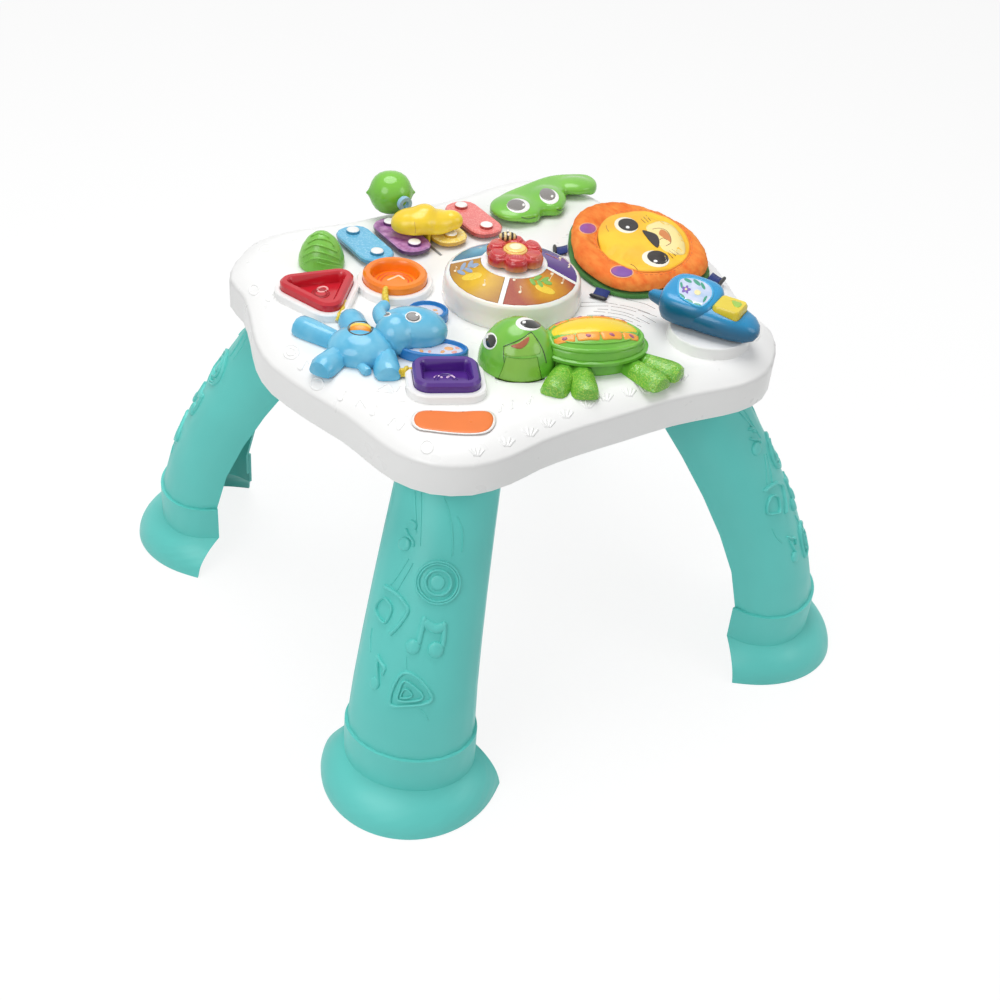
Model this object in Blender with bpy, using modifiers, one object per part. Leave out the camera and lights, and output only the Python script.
"""Toddler's activity table: a lobed moulded top on four splayed legs, with toys fixed to it.

Frame: metres, +Z up, origin on the floor under the middle of the top. +X runs along the longer side.
The legs stand under the four corners, at 45 degrees to the sides.
"""

import math

import bmesh
import bpy
from mathutils import Matrix, Vector

# Clearances
FACE_GAP = 0.0003
SLIDE_GAP = 0.0004
OVERRUN = 0.010

# Table top
TOP_HEIGHT = 0.340
TOP_HALF_LENGTH = 0.234
TOP_HALF_WIDTH = 0.207
TOP_WALL = 0.003
SKIRT_DEPTH = 0.040
SKIRT_BOTTOM = TOP_HEIGHT - SKIRT_DEPTH
SHOULDER_DROP = 0.011
SHOULDER_HEIGHT = TOP_HEIGHT - SHOULDER_DROP
SHOULDER_ROUND = 0.003
BAND_WIDTH = 0.025
# The band's slope from the shoulder in: share of its width, then share of its rise.
BAND_SHOULDER_SHARE = 0.10
BAND_SHARES = ((0.50, 0.62), (0.82, 0.92), (1.0, 1.0))
OUTLINE_STEPS = 2
# Half of the outline, as shares of the half length and the half width; a half turn gives the rest.
OUTLINE_SHARES = (
    (1.000, 0.000), (0.979, -0.193), (0.915, -0.396), (0.868, -0.570), (0.859, -0.725),
    (0.769, -0.870), (0.641, -0.981), (0.504, -1.010), (0.363, -0.990), (0.214, -0.966),
    (0.000, -0.961), (-0.214, -0.957), (-0.376, -0.966), (-0.521, -0.995), (-0.675, -0.986),
    (-0.799, -0.903), (-0.872, -0.763), (-0.897, -0.599), (-0.915, -0.444), (-0.962, -0.242),
)

# Underside
BASE_RECESS = 0.004
BASE_HEIGHT = SKIRT_BOTTOM + BASE_RECESS
BASE_THICKNESS = 0.003
BATTERY_DOOR_LENGTH = 0.110
BATTERY_DOOR_WIDTH = 0.066
BATTERY_DOOR_X = 0.000
BATTERY_DOOR_Y = -0.020
BATTERY_DOOR_ROUND = 0.005
BATTERY_BOX_WALL = 0.002
BATTERY_BOX_HEIGHT = 0.017
BOARD_LENGTH = 0.130
BOARD_WIDTH = 0.080
BOARD_THICKNESS = 0.0016
SPEAKER_RADIUS = 0.026
SPEAKER_DEPTH = 0.014
SPEAKER_MAGNET_RADIUS = 0.013
SPEAKER_RIM_SHARE = 0.25
SPEAKER_CONE_SHARE = 0.60
SPEAKER_X = 0.078
SPEAKER_Y = -0.078

# Legs: a channel that opens towards the middle of the table
LEG_WALL = 0.003
LEG_STATIONS = 7
LEG_ARC_STEPS = 12
ANKLE_HEIGHT = 0.069
LEG_SPIGOT = 0.024
LEG_TOP_REACH = 0.216
LEG_ANKLE_REACH = 0.3385
LEG_TOP_INNER = 0.127
LEG_ANKLE_INNER = 0.266
LEG_TOP_HALF_WIDTH = 0.043
LEG_ANKLE_HALF_WIDTH = 0.057
LEG_TOP_EDGE = 0.034
LEG_ANKLE_EDGE = 0.049
LEG_FRONT_POWER_SHARE = 1.35
LEG_INNER_POWER_SHARE = 1.45
SOCKET_DEPTH = 0.020

# Feet: a collar round the ankle over a wide bell
COLLAR_DROP = 0.036
FOOT_REACH = 0.370
FOOT_HALF_WIDTH = 0.083
FOOT_INNER = 0.278
# Height as a share of the collar's lower edge, then how far the bell has opened there.
FOOT_BELL_SHARES = ((0.94, 0.14), (0.80, 0.42), (0.58, 0.70), (0.30, 0.92), (0.0, 1.0))

# Light dome
DOME_X = 0.006
DOME_Y = -0.008
DOME_RADIUS = 0.0635
DOME_RIM_RADIUS = 0.0600
DOME_RIM_HEIGHT = 0.023
DOME_CROWN_RADIUS = 0.028
DOME_CROWN_HEIGHT = 0.036
DOME_WALL = 0.003
DOME_STEPS = 36
# The drum's rounded edge, from the rim down: share of the step out, then share of the rim's height.
DOME_EDGE_SHARES = ((0.60, 0.90), (1.0, 0.50))
DOME_CEILING_SHARE = 0.60
PANEL_OUTER = 0.0575
PANEL_INNER = 0.0305
PANEL_RIB = 0.0025
PANEL_THICKNESS = 0.003
PANEL_STEPS = 8
PANEL_TRAVEL = 0.0015
FLOWER_RADIUS = 0.027
FLOWER_BASE = 0.0375
FLOWER_HEIGHT = 0.010
FLOWER_PETALS = 6
FLOWER_LOBE_SHARE = 0.20
FLOWER_LOBE_POWER_SHARE = 0.60
# Radius share and height share, from the bottom up.
FLOWER_EDGE_SHARES = ((0.90, 0.0), (1.0, 0.15), (1.0, 0.72), (0.95, 0.92), (0.84, 1.0))
FLOWER_STEPS = 6
FLOWER_SPINDLE_RADIUS = 0.004
FLOWER_SPINDLE_LENGTH = 0.012
FLOWER_EYE_RADIUS = 0.011
FLOWER_EYE_HEIGHT = 0.003
FLOWER_EYE_DEPTH = 0.002
# Radius share and height share, from the top down.
FLOWER_EYE_SHARES = ((0.60, 0.92), (0.92, 0.66), (1.0, 0.40))
BEE_LENGTH = 0.010
BEE_WIDTH = 0.0065
BEE_ANGLE = math.radians(100.0)

# Piano keys
KEY_FIRST_X = -0.072
KEY_PITCH = 0.0405
KEY_Y = 0.1255
KEY_WIDTH = 0.034
KEY_LENGTH = 0.071
KEY_CORNER = 0.014
KEY_LIFT = 0.0030
KEY_THICKNESS = 0.0055
KEY_EDGE = 0.0012
KEY_PIN_SPREAD = 0.046
KEY_PIN_RADIUS = 0.003
KEY_PIN_REACH = 0.006
KEY_CAP_RADIUS = 0.0065
KEY_CAP_HEIGHT = 0.0025

# Slider: a bird-like knob that runs in a slot between the two middle keys
SLIDER_Y = 0.117
SLIDER_TRAVEL = 0.020
SLIDER_LIFT = 0.0125
SLIDER_LENGTH = 0.052
SLIDER_WIDTH = 0.036
SLIDER_HEIGHT = 0.026
# Each lobe of the knob: along, across and up, then its length, width and height, as shares of the knob's.
SLIDER_LOBE_SHARES = (
    (-0.10, 0.00, 0.80, 0.80, 1.00, 1.00), (-0.02, 0.00, 1.25, 0.48, 0.72, 0.72),
    (0.22, -0.08, 0.72, 0.56, 0.82, 0.70),
)
SLIDER_STEM_WIDTH = 0.0026
SLIDER_STEM_LENGTH = 0.022
SLIDER_SHOE_WIDTH = 0.012
SLIDER_SHOE_THICKNESS = 0.003

# Spinning ball
BALL_X = -0.014
BALL_Y = 0.178
BALL_RADIUS = 0.0215
BALL_LIFT = 0.024
BALL_TIP = 0.0035
# Where a tip starts in the ball and ends past it, and its radius at each end.
BALL_TIP_ROOT_SHARE = 0.86
BALL_TIP_REACH_SHARE = 0.45
BALL_TIP_BASE_SHARE = 2.0
BALL_TIP_END_SHARE = 0.55
BALL_TIP_ANGLE = math.radians(-24.0)
BALL_AXLE_RADIUS = 0.003
POST_DISC_RADIUS = 0.007
POST_DISC_FRONT = 0.149
POST_THICKNESS = 0.005
POST_STEM_WIDTH = 0.0052

# Bush
BUSH_X = -0.121
BUSH_Y = 0.120
BUSH_RADIUS = 0.0215
BUSH_HEIGHT = 0.033
BUSH_STEPS = 24
# Radius share and height share, from the tip down the outside.
BUSH_PROFILE_SHARES = (
    (0.10, 0.995), (0.33, 0.93), (0.62, 0.76), (0.85, 0.52), (0.97, 0.27), (1.0, 0.08), (0.97, 0.0),
)

# Dishes: a coloured cup that presses down in a white boss
DISH_WALL = 0.0085
DISH_RIM = 0.0155
DISH_ROUND = 0.0022
DISH_FLOOR = 0.0055
DISH_SINK = 0.0020
BOSS_HEIGHT = 0.0075
BOSS_WIDTH = 0.0055
BOSS_ROUND = 0.0013
TRIANGLE_X = -0.152
TRIANGLE_Y = 0.064
TRIANGLE_INRADIUS = 0.0250
TRIANGLE_CORNER = 0.0130
TRIANGLE_TURN = math.radians(-102.0)
RING_X = -0.081
RING_Y = 0.054
RING_RADIUS = 0.0295
RING_STEPS = 28
SQUARE_X = -0.126
SQUARE_Y = -0.108
SQUARE_LENGTH = 0.056
SQUARE_WIDTH = 0.046
SQUARE_CORNER = 0.0125
SQUARE_TURN = math.radians(-26.0)
CORNER_STEPS = 6

# Blue animal lying on the top
ANIMAL_HEAD_X = -0.117
ANIMAL_HEAD_Y = -0.037
ANIMAL_HEAD_LIFT = 0.013
ANIMAL_HEAD_LENGTH = 0.062
ANIMAL_HEAD_WIDTH = 0.044
ANIMAL_HEAD_HEIGHT = 0.040
ANIMAL_SNOUT_FORWARD = 0.013
ANIMAL_SNOUT_ASIDE = 0.010
ANIMAL_SNOUT_RADIUS = 0.019
ANIMAL_BODY_X = -0.166
ANIMAL_BODY_Y = -0.034
ANIMAL_BODY_LIFT = 0.006
ANIMAL_BODY_LENGTH = 0.058
ANIMAL_BODY_WIDTH = 0.050
ANIMAL_BODY_HEIGHT = 0.036
ANIMAL_TURN = math.radians(-35.6)
ANIMAL_LIMB_LIFT = 0.003
ANIMAL_LIMB_RADIUS = 0.0120
ANIMAL_LIMB_ROOT_SHARE = 0.85
ANIMAL_TAIL_RADIUS = 0.0045
# Blunt end of a limb: how far out, then how thick, as shares of its radius.
LIMB_END_SHARES = ((1.0, 0.46), (0.88, 0.80), (0.52, 0.97), (0.0, 1.0))
# Limb ends from the middle of the body, as shares of its length.
ANIMAL_LIMB_SHARES = (
    ((-0.40, 0.20), (-0.84, 0.46)), ((-0.02, 0.40), (-0.20, 0.76)),
    ((-0.26, -0.10), (-0.45, -0.50)), ((0.34, 0.00), (0.44, -0.46)),
)
ANIMAL_TAIL_SHARES = ((0.00, -0.32), (0.13, -0.50))
ROLLER_X = -0.163
ROLLER_Y = -0.028
ROLLER_RADIUS = 0.0095
ROLLER_LENGTH = 0.018
ROLLER_LIFT = 0.0165
ROLLER_STEPS = 16
EAR_RISE = 0.010
EAR_RIM = 0.0030
EAR_DISH = 0.0025
EAR_STEPS = 20
# The ear's rim and hollow: how far in as a share of the rim, then how deep as a share of the hollow.
EAR_LIP_SHARE = 0.33
EAR_HOLLOW_SHARES = ((0.33, 0.0), (0.70, 0.0), (1.0, 1.0))
EAR_FAR_X = -0.083
EAR_FAR_Y = -0.008
EAR_FAR_LENGTH = 0.036
EAR_FAR_WIDTH = 0.030
EAR_NEAR_X = -0.112
EAR_NEAR_Y = -0.063
EAR_NEAR_LENGTH = 0.062
EAR_NEAR_WIDTH = 0.030

# Turtle
TURTLE_X = 0.010
TURTLE_Y = -0.128
TURTLE_TURN = math.radians(-22.0)
TURTLE_HEAD_X = -0.051
TURTLE_HEAD_Y = -0.103
TURTLE_HEAD_RADIUS = 0.034
TURTLE_HEAD_HEIGHT = 0.040
SHELL_LENGTH = 0.092
SHELL_WIDTH = 0.060
SHELL_RISE = 0.019
SHELL_SEAT = 0.015
TURTLE_RIM_WIDTH = 0.003
TURTLE_RIM_THICKNESS = 0.005
# The rim round the shell: how far out, then how high, as shares of its width and thickness.
TURTLE_RIM_SHARES = ((1.0, 0.30), (1.0, 0.80), (0.40, 1.0))
TURTLE_SIDE_INSET = 0.006
TURTLE_SIDE_SPREAD = 0.002
TURTLE_STEPS = 36
JAW_TOP_HALF_WIDTH = 0.013
JAW_BOTTOM_HALF_WIDTH = 0.021
JAW_HEIGHT = 0.020
JAW_BACK = 0.012
JAW_TURN = math.radians(-118.0)
FLIPPER_LIFT = 0.0005
FLIPPER_RADIUS = 0.0122
FLIPPER_ROOT_SHARE = 0.85
FLIPPER_TOP_SHARE = 0.50
# Flipper ends from the middle of the shell, as shares of the shell's length and width.
FLIPPER_SHARES = (
    ((-0.30, -0.35), (-0.46, -0.78)), ((-0.16, -0.35), (-0.20, -0.88)),
    ((0.30, -0.30), (0.47, -0.75)), ((0.42, -0.20), (0.66, -0.52)),
)

# Green bean-shaped press button with one curled arm
BEAN_X = 0.138
BEAN_Y = 0.132
BEAN_HALF_LENGTH = 0.066
BEAN_HALF_WIDTH = 0.037
BEAN_HEIGHT = 0.0145
BEAN_ROUND = 0.005
BEAN_TRAVEL = 0.0020
BEAN_STEM_RADIUS = 0.006
BEAN_STEM_REACH = 0.006
BEAN_STEM_X = 0.110
BEAN_STEM_Y = 0.128
BEAN_OUTLINE_STEPS = 3
BEAN_SHARES = (
    (-0.98, 0.05), (-0.86, -0.35), (-0.70, -0.80), (-0.48, -0.94), (-0.30, -0.72), (-0.10, -0.86),
    (0.08, -0.74), (0.24, -0.30), (0.44, 0.05), (0.64, -0.02), (0.80, -0.28), (0.98, -0.02),
    (0.98, 0.42), (0.74, 0.68), (0.36, 0.84), (-0.20, 0.66), (-0.66, 0.44),
)

# Fabric pad with a maned face, tied down at three webbing tabs
PAD_X = 0.155
PAD_Y = 0.002
PAD_HALF_LENGTH = 0.068
PAD_HALF_WIDTH = 0.086
PAD_FACE_HALF_LENGTH = 0.043
PAD_FACE_HALF_WIDTH = 0.050
PAD_BACKING_RISE = 0.0045
PAD_BACKING_SPREAD = 0.002
PAD_MANE_RISE = 0.0200
PAD_FACE_SINK = 0.0035
PAD_FACE_RISE = 0.0060
PAD_STEPS = 3
# The mane's crown from its outline to the face: how far in, then how high.
MANE_EDGE_SHARE = 0.32
MANE_SHARES = ((0.05, 0.66), (0.28, 0.95), (0.60, 1.0), (0.95, 0.86))
# The face's crown: its size, then how high.
FACE_SHARES = ((0.985, 0.0), (0.985, 0.45), (0.90, 0.78), (0.60, 0.96), (0.25, 1.0))
PAD_SHARES = (
    (0.95, 0.25), (0.82, 0.62), (0.55, 0.92), (0.22, 1.00), (-0.14, 0.93), (-0.44, 0.74),
    (-0.74, 0.42), (-0.98, 0.05), (-1.00, -0.36), (-0.92, -0.58), (-0.72, -0.74), (-0.36, -0.82),
    (0.10, -0.82), (0.48, -0.78), (0.72, -0.56), (0.92, -0.18),
)
TAB_WIDTH = 0.014
TAB_LENGTH = 0.015
TAB_THICKNESS = 0.0016
TAB_SEARCH_ANGLE = math.radians(6.0)
# Where each webbing tab leaves the pad: angle round the pad.
TAB_ANGLES = (math.radians(146.0), math.radians(212.0), math.radians(300.0))

# Blue viewer that turns on a round boss
VIEWER_X = 0.124
VIEWER_Y = -0.148
VIEWER_BOSS_RADIUS = 0.036
VIEWER_BOSS_HEIGHT = 0.010
VIEWER_BOSS_STEPS = 32
VIEWER_TURN = math.radians(-62.0)
VIEWER_LENGTH = 0.106
VIEWER_WIDTH = 0.044
VIEWER_HEIGHT = 0.028
VIEWER_SETBACK = 0.008
VIEWER_SECTION_STEPS = 14
VIEWER_SQUARE_SHARE = 0.75
VIEWER_PIVOT_RADIUS = 0.010
VIEWER_PIVOT_REACH = 0.008
# Along the body from the tail, then half width, underside and top, all as shares.
VIEWER_SHARES = (
    (0.00, 0.10, 0.44, 0.60), (0.03, 0.22, 0.34, 0.70), (0.12, 0.30, 0.24, 0.74), (0.18, 0.44, 0.18, 0.80),
    (0.27, 0.88, 0.08, 0.97), (0.42, 1.00, 0.00, 1.00), (0.62, 0.98, 0.00, 0.96), (0.80, 0.88, 0.00, 0.88),
    (0.92, 0.66, 0.03, 0.74), (0.98, 0.38, 0.12, 0.58), (1.00, 0.14, 0.24, 0.44),
)
WINDOW_LENGTH = 0.032
WINDOW_WIDTH = 0.028
WINDOW_THICKNESS = 0.0016
WINDOW_SINK = 0.0012
WINDOW_ALONG = 0.016
WINDOW_CORNER = 0.008
PUSH_LENGTH = 0.026
PUSH_WIDTH = 0.026
PUSH_RISE = 0.011
PUSH_SINK = 0.007
PUSH_TRAVEL = 0.0020
PUSH_ALONG = -0.023
PUSH_CORNER = 0.005

# Label plate
LABEL_X = -0.146
LABEL_Y = -0.156
LABEL_LENGTH = 0.066
LABEL_WIDTH = 0.026
LABEL_THICKNESS = 0.0012
LABEL_TURN = math.radians(-28.0)
LABEL_SHARES = (
    (1.00, 0.05), (0.86, -0.72), (0.45, -0.98), (0.00, -0.96), (-0.45, -0.98), (-0.86, -0.80),
    (-1.00, -0.05), (-0.84, 0.78), (-0.45, 0.96), (0.00, 0.66), (0.45, 0.94), (0.86, 0.82),
)
LABEL_STEPS = 2

# Corners of the table, each with its leg
LEG_CORNERS = (
    ("front", math.radians(225.0)), ("right", math.radians(315.0)), ("back", math.radians(45.0)),
    ("left", math.radians(135.0)),
)

PARTS = "activity_table"
CUTTERS = "activity_table_cutters"


# Scene helpers

def clear_scene():
    """Remove every object that the file starts with."""
    for item in list(bpy.data.objects):
        bpy.data.objects.remove(item, do_unlink=True)


def make_collection(name):
    """Add a collection to the scene."""
    collection = bpy.data.collections.new(name)
    bpy.context.scene.collection.children.link(collection)
    return collection


def plastic(name, colour, roughness=0.35, metallic=0.0):
    """Material with one Principled BSDF."""
    material = bpy.data.materials.new(name)
    material.use_nodes = True
    shader = material.node_tree.nodes["Principled BSDF"]
    shader.inputs["Base Color"].default_value = (*colour, 1.0)
    shader.inputs["Roughness"].default_value = roughness
    shader.inputs["Metallic"].default_value = metallic
    return material


def finish(name, solid, material, origin=(0.0, 0.0, 0.0), smooth=math.radians(35.0)):
    """Turn a bmesh in world coordinates into a named object whose origin is at the given point."""
    bmesh.ops.translate(solid, verts=solid.verts, vec=-Vector(origin))
    mesh = bpy.data.meshes.new(name)
    solid.to_mesh(mesh)
    solid.free()
    mesh.materials.append(material)
    mesh.shade_smooth()
    mesh.set_sharp_from_angle(angle=smooth)
    item = bpy.data.objects.new(name, mesh)
    item.location = origin
    bpy.data.collections[PARTS].objects.link(item)
    return item


def combine(item, solid, operation):
    """Boolean of an object with a bmesh in world coordinates, which is kept as a hidden operand."""
    mesh = bpy.data.meshes.new(item.name + "_operand")
    solid.to_mesh(mesh)
    solid.free()
    operand = bpy.data.objects.new(mesh.name, mesh)
    operand.display_type = "WIRE"
    operand.hide_render = True
    bpy.data.collections[CUTTERS].objects.link(operand)
    modifier = item.modifiers.new(operation.lower(), "BOOLEAN")
    modifier.operation = operation
    modifier.solver = "EXACT"
    modifier.object = operand
    return item


def gather(solids):
    """One bmesh that holds several solids which don't touch."""
    whole = bmesh.new()
    for solid in solids:
        mesh = bpy.data.meshes.new("gathered")
        solid.to_mesh(mesh)
        solid.free()
        whole.from_mesh(mesh)
        bpy.data.meshes.remove(mesh)
    return whole


# Outlines

def smooth_loop(points, steps):
    """Closed Catmull-Rom curve through the points."""
    count = len(points)
    loop = []
    for index in range(count):
        before, start, end, after = (Vector(points[(index + shift) % count]) for shift in (-1, 0, 1, 2))
        for step in range(steps):
            t = step / steps
            loop.append(
                0.5 * (2 * start + (end - before) * t + (2 * before - 5 * start + 4 * end - after) * t * t
                       + (3 * start - before - 3 * end + after) * t * t * t)
            )
    return loop


def inset_loop(loop, distance):
    """Move each point of an anticlockwise loop inwards, square to its neighbours."""
    count = len(loop)
    moved = []
    for index, point in enumerate(loop):
        along = loop[(index + 1) % count] - loop[index - 1]
        inwards = Vector((-along.y, along.x)).normalized()
        moved.append(point + inwards * distance)
    return moved


def circle(radius, steps, x=0.0, y=0.0):
    """Round outline."""
    return oval(radius, radius, steps, x, y)


def oval(half_length, half_width, steps, x=0.0, y=0.0, turn=0.0):
    """Elliptical outline, turned about its middle."""
    return place_outline(
        [
            Vector((half_length * math.cos(angle), half_width * math.sin(angle)))
            for angle in (math.tau * step / steps for step in range(steps))
        ],
        x, y, turn,
    )


def place_outline(outline, x, y, turn):
    """Turn an outline about its own middle and move it to its place."""
    rotation = Matrix.Rotation(turn, 2)
    return [rotation @ point + Vector((x, y)) for point in outline]


def rounded_corners(corners, radius, steps):
    """Convex anticlockwise polygon with an arc at each corner."""
    outline = []
    count = len(corners)
    for index, corner in enumerate(corners):
        back = (corners[index - 1] - corner).normalized()
        forward = (corners[(index + 1) % count] - corner).normalized()
        half_angle = back.angle(forward) / 2
        centre = corner + (back + forward).normalized() * radius / math.sin(half_angle)
        sweep = math.pi - 2 * half_angle
        start = math.atan2(-(back + forward).y, -(back + forward).x) - sweep / 2
        for step in range(steps):
            angle = start + sweep * step / (steps - 1)
            outline.append(centre + Vector((math.cos(angle), math.sin(angle))) * radius)
    return outline


def rectangle(length, width, corner, x=0.0, y=0.0, turn=0.0, steps=CORNER_STEPS):
    """Rectangle with rounded corners."""
    corners = [Vector((sx * length / 2, sy * width / 2)) for sx, sy in ((-1, -1), (1, -1), (1, 1), (-1, 1))]
    return place_outline(rounded_corners(corners, corner, steps), x, y, turn)


def triangle(inradius, corner, x, y, turn):
    """Triangle with rounded corners, one of which points along the turn."""
    corners = [
        2 * inradius * Vector((math.cos(math.tau * k / 3), math.sin(math.tau * k / 3))) for k in range(3)
    ]
    return place_outline(rounded_corners(corners, corner, CORNER_STEPS + 2), x, y, turn)


# Solids

def loft(sections):
    """Closed solid through sections with equal numbers of points."""
    solid = bmesh.new()
    rings = [[solid.verts.new(point) for point in section] for section in sections]
    count = len(rings[0])
    for lower, upper in zip(rings, rings[1:]):
        for index in range(count):
            after = (index + 1) % count
            solid.faces.new((lower[index], lower[after], upper[after], upper[index]))
    solid.faces.new(rings[0][::-1])
    solid.faces.new(rings[-1])
    bmesh.ops.recalc_face_normals(solid, faces=solid.faces)
    return solid


def stack(levels):
    """Loft through level outlines: pairs of an outline and a height."""
    return loft([[Vector((point.x, point.y, height)) for point in outline] for outline, height in levels])


def prism(outline, low, high):
    """Straight extrusion of an outline between two heights."""
    return stack([(outline, low), (outline, high)])


def plate(outline, low, high, edge, flat_bottom=False, rounds=0):
    """Flat outline as a filled curve, with rounded edges of the given radius."""
    bottom = low - 2 * edge if flat_bottom else low
    curve = bpy.data.curves.new("outline", "CURVE")
    curve.dimensions = "2D"
    curve.fill_mode = "BOTH"
    curve.extrude = (high - bottom) / 2 - edge
    curve.bevel_depth = edge
    curve.bevel_resolution = rounds
    curve.offset = -edge
    spline = curve.splines.new("POLY")
    spline.points.add(len(outline) - 1)
    for slot, point in zip(spline.points, outline):
        slot.co = (point.x, point.y, 0.0, 1.0)
    spline.use_cyclic_u = True
    item = bpy.data.objects.new("outline", curve)
    bpy.context.scene.collection.objects.link(item)
    item.location.z = (high + bottom) / 2
    solid = mesh_of_curve(item)
    if flat_bottom:
        cut_level(solid, low)
    return solid


def mesh_of_curve(item):
    """Welded bmesh of a curve object in world coordinates; the curve is removed."""
    bpy.context.view_layer.update()
    evaluated = item.evaluated_get(bpy.context.evaluated_depsgraph_get())
    mesh = bpy.data.meshes.new_from_object(evaluated)
    solid = bmesh.new()
    solid.from_mesh(mesh)
    bmesh.ops.transform(solid, matrix=item.matrix_world, verts=solid.verts)
    bmesh.ops.remove_doubles(solid, verts=solid.verts, dist=FACE_GAP / 30)
    bmesh.ops.recalc_face_normals(solid, faces=solid.faces)
    bpy.data.meshes.remove(mesh)
    bpy.data.objects.remove(item, do_unlink=True)
    return solid


def cut_level(solid, height, keep_above=True):
    """Cut a solid flat at a height and close it there."""
    normal = Vector((0.0, 0.0, -1.0 if keep_above else 1.0))
    cut = bmesh.ops.bisect_plane(
        solid, geom=solid.verts[:] + solid.edges[:] + solid.faces[:], plane_co=Vector((0.0, 0.0, height)),
        plane_no=normal, clear_outer=True,
    )
    edges = [part for part in cut["geom_cut"] if isinstance(part, bmesh.types.BMEdge)]
    bmesh.ops.holes_fill(solid, edges=edges, sides=0)
    bmesh.ops.recalc_face_normals(solid, faces=solid.faces)
    return solid


def ellipsoid(x, y, z, half_sizes, turn=0.0, across=20, up=12):
    """Ball stretched to three half sizes."""
    solid = bmesh.new()
    bmesh.ops.create_uvsphere(solid, u_segments=across, v_segments=up, radius=1.0)
    size = Matrix.Diagonal((*half_sizes, 1.0))
    shape = Matrix.Translation((x, y, z)) @ Matrix.Rotation(turn, 4, "Z") @ size
    bmesh.ops.transform(solid, matrix=shape, verts=solid.verts)
    return solid


def rod(start, end, radius, steps=12):
    """Cylinder between two points."""
    solid = bmesh.new()
    axis = Vector(end) - Vector(start)
    bmesh.ops.create_cone(
        solid, cap_ends=True, segments=steps, radius1=radius, radius2=radius, depth=axis.length,
    )
    middle = (Vector(start) + Vector(end)) / 2
    shape = Matrix.Translation(middle) @ axis.to_track_quat("Z", "Y").to_matrix().to_4x4()
    bmesh.ops.transform(solid, matrix=shape, verts=solid.verts)
    return solid


def limb(start, end, start_radius, end_radius, steps=10):
    """Tapered rod with blunt round ends."""
    start, end = Vector(start), Vector(end)
    axis = (end - start).normalized()
    side = axis.cross(Vector((0.0, 0.0, 1.0))).normalized()
    over = side.cross(axis)
    stations = [(start - axis * start_radius * out, start_radius * thick) for out, thick in LIMB_END_SHARES]
    stations += [(end + axis * end_radius * out, end_radius * thick) for out, thick in LIMB_END_SHARES[::-1]]
    angles = [math.tau * step / steps for step in range(steps)]
    return loft([
        [centre + radius * (side * math.cos(angle) + over * math.sin(angle)) for angle in angles]
        for centre, radius in stations
    ])


def turned(name, profile, steps, x, y, material):
    """Object of revolution from a profile that runs down its outer side, from the axis to the axis."""
    mesh = bpy.data.meshes.new(name)
    points = [(radius, 0.0, height) for radius, height in profile]
    mesh.from_pydata(points, [(index, index + 1) for index in range(len(points) - 1)], [])
    mesh.materials.append(material)
    item = bpy.data.objects.new(name, mesh)
    item.location = (x, y, 0.0)
    screw = item.modifiers.new("turn", "SCREW")
    screw.steps = steps
    screw.render_steps = steps
    screw.use_merge_vertices = True
    screw.merge_threshold = 0.00001
    screw.use_smooth_shade = True
    bpy.data.collections[PARTS].objects.link(item)
    return item


# Table top, underside and what is inside

def top_outline():
    """Anticlockwise outline of the skirt."""
    half = [Vector((a * TOP_HALF_LENGTH, b * TOP_HALF_WIDTH)) for a, b in OUTLINE_SHARES]
    points = half + [-point for point in half]
    return smooth_loop(points[::-1], OUTLINE_STEPS)


def make_top(material, bosses, holes):
    """Lobed shell with a skirt, a sloping band and a flat middle, its bosses and its openings."""
    outline = top_outline()
    rise = TOP_HEIGHT - SHOULDER_HEIGHT
    levels = [
        (inset_loop(outline, BAND_WIDTH), TOP_HEIGHT - TOP_WALL),
        (inset_loop(outline, TOP_WALL + SHOULDER_ROUND), SHOULDER_HEIGHT - TOP_WALL),
        (inset_loop(outline, TOP_WALL), SHOULDER_HEIGHT - TOP_WALL - SHOULDER_ROUND),
        (inset_loop(outline, TOP_WALL), SKIRT_BOTTOM),
        (outline, SKIRT_BOTTOM),
        (outline, SHOULDER_HEIGHT - SHOULDER_ROUND),
        (inset_loop(outline, SHOULDER_ROUND), SHOULDER_HEIGHT + rise * BAND_SHOULDER_SHARE),
    ]
    levels += [(inset_loop(outline, BAND_WIDTH * a), SHOULDER_HEIGHT + rise * b) for a, b in BAND_SHARES]
    top = finish("table_top", stack(levels), material)
    for boss in bosses:
        combine(top, boss, "UNION")
    combine(top, gather(holes), "DIFFERENCE")
    return top


def leg_sections():
    """Outer sizes of the channel at each station up the leg, from the ankle."""
    top = BASE_HEIGHT - FACE_GAP
    stations = []
    for index in range(LEG_STATIONS):
        share = index / (LEG_STATIONS - 1)
        front_share = share ** LEG_FRONT_POWER_SHARE
        inner_share = share ** LEG_INNER_POWER_SHARE
        stations.append((
            ANKLE_HEIGHT + (top - ANKLE_HEIGHT) * share,
            LEG_ANKLE_REACH + (LEG_TOP_REACH - LEG_ANKLE_REACH) * front_share,
            LEG_ANKLE_INNER + (LEG_TOP_INNER - LEG_ANKLE_INNER) * inner_share,
            LEG_ANKLE_HALF_WIDTH + (LEG_TOP_HALF_WIDTH - LEG_ANKLE_HALF_WIDTH) * share,
            LEG_ANKLE_EDGE + (LEG_TOP_EDGE - LEG_ANKLE_EDGE) * share,
        ))
    return stations


def channel_arc(front, inner, half_width, edge, grow):
    """Elliptical arc of a channel's wall, grown by a distance, from one free edge round to the other."""
    rear_share = math.sqrt(max(0.0, 1.0 - (edge / half_width) ** 2))
    depth = (front - inner) / (1.0 + rear_share)
    centre = front - depth
    limit = math.acos(-rear_share)
    return [
        Vector((centre + (depth + grow) * math.cos(angle), (half_width + grow) * math.sin(angle)))
        for angle in (-limit + 2 * limit * step / LEG_ARC_STEPS for step in range(LEG_ARC_STEPS + 1))
    ]


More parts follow.
